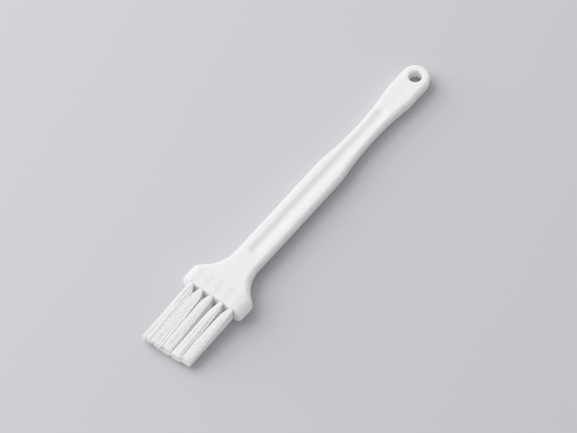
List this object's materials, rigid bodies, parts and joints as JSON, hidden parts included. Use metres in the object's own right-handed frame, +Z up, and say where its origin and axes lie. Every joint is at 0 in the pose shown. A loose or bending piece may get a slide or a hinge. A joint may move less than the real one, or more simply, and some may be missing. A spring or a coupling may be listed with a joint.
{
  "type": "pastry brush",
  "caption": "Flat pastry brush: white moulded handle with a grip groove and hang hole, and rows of stapled white bristle tufts that flex where they leave the block.",
  "frame": {"origin": "middle of the whole length and width, on the plane that the flat block rests on", "axes": "+Y along the handle, from the bristles to the hang hole; +X across the brush; +Z up, through the thickness"},
  "size_m": [0.0344, 0.1958, 0.01],
  "materials": {
    "handle_plastic": "white moulded polypropylene, satin",
    "bristle_filament": "white nylon filament, bright when seen along its length",
    "anchor_steel": "stainless flat wire"
  },
  "bodies": {
    "handle_body": {"handle": "handle_plastic", "tuft_root_a1": "bristle_filament", "tuft_root_a2": "bristle_filament", "tuft_root_a3": "bristle_filament", "tuft_root_a4": "bristle_filament", "tuft_root_a5": "bristle_filament", "tuft_root_b1": "bristle_filament", "tuft_root_b2": "bristle_filament", "tuft_root_b3": "bristle_filament", "tuft_root_b4": "bristle_filament", "tuft_root_b5": "bristle_filament", "tuft_root_c1": "bristle_filament", "tuft_root_c2": "bristle_filament", "tuft_root_c3": "bristle_filament", "tuft_root_c4": "bristle_filament", "tuft_root_c5": "bristle_filament", "staple_a1": "anchor_steel", "staple_a2": "anchor_steel", "staple_a3": "anchor_steel", "staple_a4": "anchor_steel", "staple_a5": "anchor_steel", "staple_b1": "anchor_steel", "staple_b2": "anchor_steel", "staple_b3": "anchor_steel", "staple_b4": "anchor_steel", "staple_b5": "anchor_steel", "staple_c1": "anchor_steel", "staple_c2": "anchor_steel", "staple_c3": "anchor_steel", "staple_c4": "anchor_steel", "staple_c5": "anchor_steel"},
    "upper_row": {"tuft_a1": "bristle_filament", "tuft_a2": "bristle_filament", "tuft_a3": "bristle_filament", "tuft_a4": "bristle_filament", "tuft_a5": "bristle_filament"},
    "middle_row": {"tuft_b1": "bristle_filament", "tuft_b2": "bristle_filament", "tuft_b3": "bristle_filament", "tuft_b4": "bristle_filament", "tuft_b5": "bristle_filament"},
    "lower_row": {"tuft_c1": "bristle_filament", "tuft_c2": "bristle_filament", "tuft_c3": "bristle_filament", "tuft_c4": "bristle_filament", "tuft_c5": "bristle_filament"}
  },
  "joints": [
    {"name": "middle_row_flex", "type": "hinge", "parent": "handle_body", "child": "middle_row", "pos_m": [0, -0.0654, 0.005], "axis": [1, 0, 0], "range_deg": [-30, 30], "stiffness_Nm_per_rad": 0.02},
    {"name": "upper_row_flex", "type": "hinge", "parent": "handle_body", "child": "upper_row", "pos_m": [0, -0.0654, 0.008], "axis": [1, 0, 0], "range_deg": [-30, 30], "stiffness_Nm_per_rad": 0.02},
    {"name": "lower_row_flex", "type": "hinge", "parent": "handle_body", "child": "lower_row", "pos_m": [0, -0.0654, 0.002], "axis": [1, 0, 0], "range_deg": [-30, 30], "stiffness_Nm_per_rad": 0.02}
  ],
  "couplings": [
    {"joint": "upper_row_flex", "follows": "middle_row_flex", "ratio": 1},
    {"joint": "lower_row_flex", "follows": "middle_row_flex", "ratio": 1}
  ]
}
